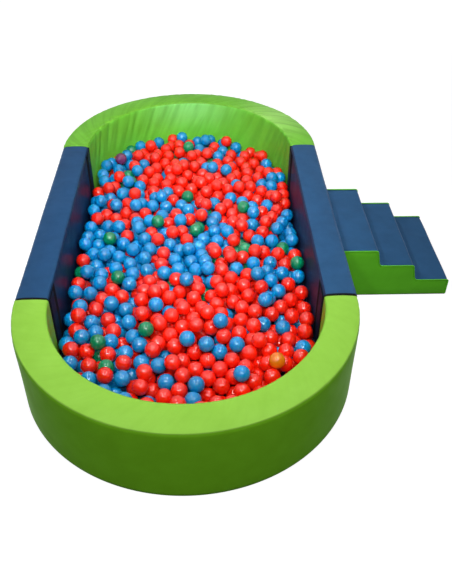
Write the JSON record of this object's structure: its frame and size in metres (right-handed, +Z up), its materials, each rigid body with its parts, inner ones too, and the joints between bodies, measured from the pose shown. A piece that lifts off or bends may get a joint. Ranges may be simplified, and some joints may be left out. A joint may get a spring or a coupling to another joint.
{
  "type": "soft-play ball pit",
  "caption": "Stadium-shaped soft-play ball pit of padded foam wall modules round a floor mat, with padded steps against one side and a fill of coloured plastic balls.",
  "frame": {"origin": "on the floor, at the middle of the pit's plan without its steps", "axes": "+Z up, +Y along the pit's length towards the rear half ring, +X towards the steps"},
  "size_m": [2.2303, 3.1034, 0.4],
  "materials": {
    "lime_vinyl": "satin PVC-coated fabric",
    "navy_vinyl": "satin PVC-coated fabric",
    "foam": "open-cell polyurethane foam",
    "base_fabric": "coarse woven non-slip base fabric",
    "hook_and_loop": "black hook-and-loop tape",
    "zip_nylon": "black nylon coil zip",
    "zip_metal": "plated zip slider",
    "red_ball": "blow-moulded polyethylene, semi-gloss",
    "blue_ball": "blow-moulded polyethylene, semi-gloss",
    "green_ball": "blow-moulded polyethylene, semi-gloss",
    "purple_ball": "blow-moulded polyethylene, semi-gloss",
    "orange_ball": "blow-moulded polyethylene, semi-gloss"
  },
  "bodies": {
    "floor_mat": {"mat_foam": "foam", "mat_cover": "navy_vinyl", "mat_base": "base_fabric", "mat_zip": "zip_nylon"},
    "rear_arc": {"rear_arc_cover": "lime_vinyl", "rear_arc_foam": "foam", "rear_arc_base": "base_fabric", "rear_arc_zip": "zip_nylon", "rear_arc_left_hook_tape": "hook_and_loop", "rear_arc_right_hook_tape": "hook_and_loop"},
    "front_arc": {"front_arc_cover": "lime_vinyl", "front_arc_foam": "foam", "front_arc_base": "base_fabric", "front_arc_zip": "zip_nylon", "front_arc_left_hook_tape": "hook_and_loop", "front_arc_right_hook_tape": "hook_and_loop"},
    "left_wall": {"left_wall_cover": "navy_vinyl", "left_wall_foam": "foam", "left_wall_base": "base_fabric", "left_wall_zip": "zip_nylon", "left_wall_rear_loop_tape": "hook_and_loop", "left_wall_front_loop_tape": "hook_and_loop", "left_wall_rear_binding": "navy_vinyl", "left_wall_front_binding": "navy_vinyl"},
    "right_wall": {"right_wall_cover": "navy_vinyl", "right_wall_foam": "foam", "right_wall_base": "base_fabric", "right_wall_zip": "zip_nylon", "right_wall_rear_loop_tape": "hook_and_loop", "right_wall_front_loop_tape": "hook_and_loop", "right_wall_rear_binding": "navy_vinyl", "right_wall_front_binding": "navy_vinyl"},
    "steps": {"steps_foam": "foam", "steps_tread_cover": "navy_vinyl", "steps_rear_side": "lime_vinyl", "steps_front_side": "lime_vinyl", "steps_base": "base_fabric", "steps_zip": "zip_nylon"},
    "rear_arc_slider": {"rear_arc_zip_slider": "zip_metal"},
    "front_arc_slider": {"front_arc_zip_slider": "zip_metal"},
    "left_wall_slider": {"left_wall_zip_slider": "zip_metal"},
    "right_wall_slider": {"right_wall_zip_slider": "zip_metal"},
    "steps_slider": {"steps_zip_slider": "zip_metal"},
    "mat_slider": {"mat_zip_slider": "zip_metal"},
    "ball_fill": {"ball_fill": "red_ball"},
    "loose_ball_blue_1": {"loose_ball_blue_1": "blue_ball"},
    "loose_ball_blue_2": {"loose_ball_blue_2": "blue_ball"},
    "loose_ball_blue_3": {"loose_ball_blue_3": "blue_ball"},
    "loose_ball_blue_4": {"loose_ball_blue_4": "blue_ball"},
    "loose_ball_blue_5": {"loose_ball_blue_5": "blue_ball"},
    "loose_ball_red_1": {"loose_ball_red_1": "red_ball"},
    "loose_ball_red_2": {"loose_ball_red_2": "red_ball"},
    "loose_ball_red_3": {"loose_ball_red_3": "red_ball"},
    "loose_ball_green_1": {"loose_ball_green_1": "green_ball"},
    "loose_ball_green_2": {"loose_ball_green_2": "green_ball"},
    "loose_ball_purple_1": {"loose_ball_purple_1": "purple_ball"},
    "loose_ball_orange_1": {"loose_ball_orange_1": "orange_ball"}
  },
  "joints": [
    {"name": "rear_arc_pull", "type": "slide", "parent": "floor_mat", "child": "rear_arc", "axis": [0, 1, 0], "range_m": [0, 0.3]},
    {"name": "front_arc_pull", "type": "slide", "parent": "floor_mat", "child": "front_arc", "axis": [0, -1, 0], "range_m": [0, 0.3]},
    {"name": "left_wall_pull", "type": "slide", "parent": "floor_mat", "child": "left_wall", "axis": [-1, 0, 0], "range_m": [0, 0.3]},
    {"name": "right_wall_pull", "type": "slide", "parent": "floor_mat", "child": "right_wall", "axis": [1, 0, 0], "range_m": [0, 0.3]},
    {"name": "steps_pull", "type": "slide", "parent": "right_wall", "child": "steps", "axis": [1, 0, 0], "range_m": [0, 0.3]},
    {"name": "rear_arc_zip_run", "type": "hinge", "parent": "rear_arc", "child": "rear_arc_slider", "pos_m": [0, 0.75165, 0], "axis": [0, 0, 1], "range_deg": [0, 141]},
    {"name": "front_arc_zip_run", "type": "hinge", "parent": "front_arc", "child": "front_arc_slider", "pos_m": [0, -0.75165, 0], "axis": [0, 0, 1], "range_deg": [0, 141]},
    {"name": "left_wall_zip_run", "type": "slide", "parent": "left_wall", "child": "left_wall_slider", "axis": [0, 1, 0], "range_m": [0, 1.12]},
    {"name": "right_wall_zip_run", "type": "slide", "parent": "right_wall", "child": "right_wall_slider", "axis": [0, 1, 0], "range_m": [0, 1.12]},
    {"name": "steps_zip_run", "type": "slide", "parent": "steps", "child": "steps_slider", "axis": [0, 1, 0], "range_m": [0, 0.42]},
    {"name": "mat_zip_run", "type": "slide", "parent": "floor_mat", "child": "mat_slider", "axis": [0, 1, 0], "range_m": [0, 1.12]},
    {"name": "ball_fill_lift", "type": "slide", "parent": "floor_mat", "child": "ball_fill", "axis": [0, 0, 1], "range_m": [0, 0.45]},
    {"name": "loose_ball_blue_1_lift", "type": "slide", "parent": "ball_fill", "child": "loose_ball_blue_1", "axis": [0, 0, 1], "range_m": [0, 0.25]},
    {"name": "loose_ball_blue_2_lift", "type": "slide", "parent": "ball_fill", "child": "loose_ball_blue_2", "axis": [0, 0, 1], "range_m": [0, 0.25]},
    {"name": "loose_ball_blue_3_lift", "type": "slide", "parent": "ball_fill", "child": "loose_ball_blue_3", "axis": [0, 0, 1], "range_m": [0, 0.25]},
    {"name": "loose_ball_blue_4_lift", "type": "slide", "parent": "ball_fill", "child": "loose_ball_blue_4", "axis": [0, 0, 1], "range_m": [0, 0.25]},
    {"name": "loose_ball_blue_5_lift", "type": "slide", "parent": "ball_fill", "child": "loose_ball_blue_5", "axis": [0, 0, 1], "range_m": [0, 0.25]},
    {"name": "loose_ball_red_1_lift", "type": "slide", "parent": "ball_fill", "child": "loose_ball_red_1", "axis": [0, 0, 1], "range_m": [0, 0.25]},
    {"name": "loose_ball_red_2_lift", "type": "slide", "parent": "ball_fill", "child": "loose_ball_red_2", "axis": [0, 0, 1], "range_m": [0, 0.25]},
    {"name": "loose_ball_red_3_lift", "type": "slide", "parent": "ball_fill", "child": "loose_ball_red_3", "axis": [0, 0, 1], "range_m": [0, 0.25]},
    {"name": "loose_ball_green_1_lift", "type": "slide", "parent": "ball_fill", "child": "loose_ball_green_1", "axis": [0, 0, 1], "range_m": [0, 0.25]},
    {"name": "loose_ball_green_2_lift", "type": "slide", "parent": "ball_fill", "child": "loose_ball_green_2", "axis": [0, 0, 1], "range_m": [0, 0.25]},
    {"name": "loose_ball_purple_1_lift", "type": "slide", "parent": "ball_fill", "child": "loose_ball_purple_1", "axis": [0, 0, 1], "range_m": [0, 0.25]},
    {"name": "loose_ball_orange_1_lift", "type": "slide", "parent": "ball_fill", "child": "loose_ball_orange_1", "axis": [0, 0, 1], "range_m": [0, 0.25]}
  ]
}
